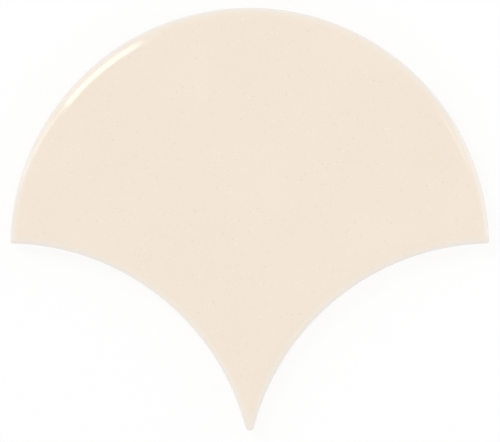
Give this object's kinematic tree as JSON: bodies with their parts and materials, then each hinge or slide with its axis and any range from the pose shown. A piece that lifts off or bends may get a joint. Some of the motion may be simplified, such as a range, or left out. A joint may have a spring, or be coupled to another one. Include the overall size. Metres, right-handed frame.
{
  "type": "fish scale tile",
  "caption": "Fan-shaped fish scale wall tile: round head, hollow lower flanks and a blunt tip, a glossy cream cushioned face and a keyed back for the adhesive.",
  "frame": {"origin": "centre of the round head's arc, on the plane of the ribs of the back", "axes": "+X to the tile's right seen from the face, +Y to the top of the head, +Z out of the glazed face"},
  "size_m": [0.12, 0.106, 0.0083],
  "materials": {
    "glaze": "gloss"
  },
  "bodies": {
    "root": {"tile": "glaze"}
  },
  "joints": []
}
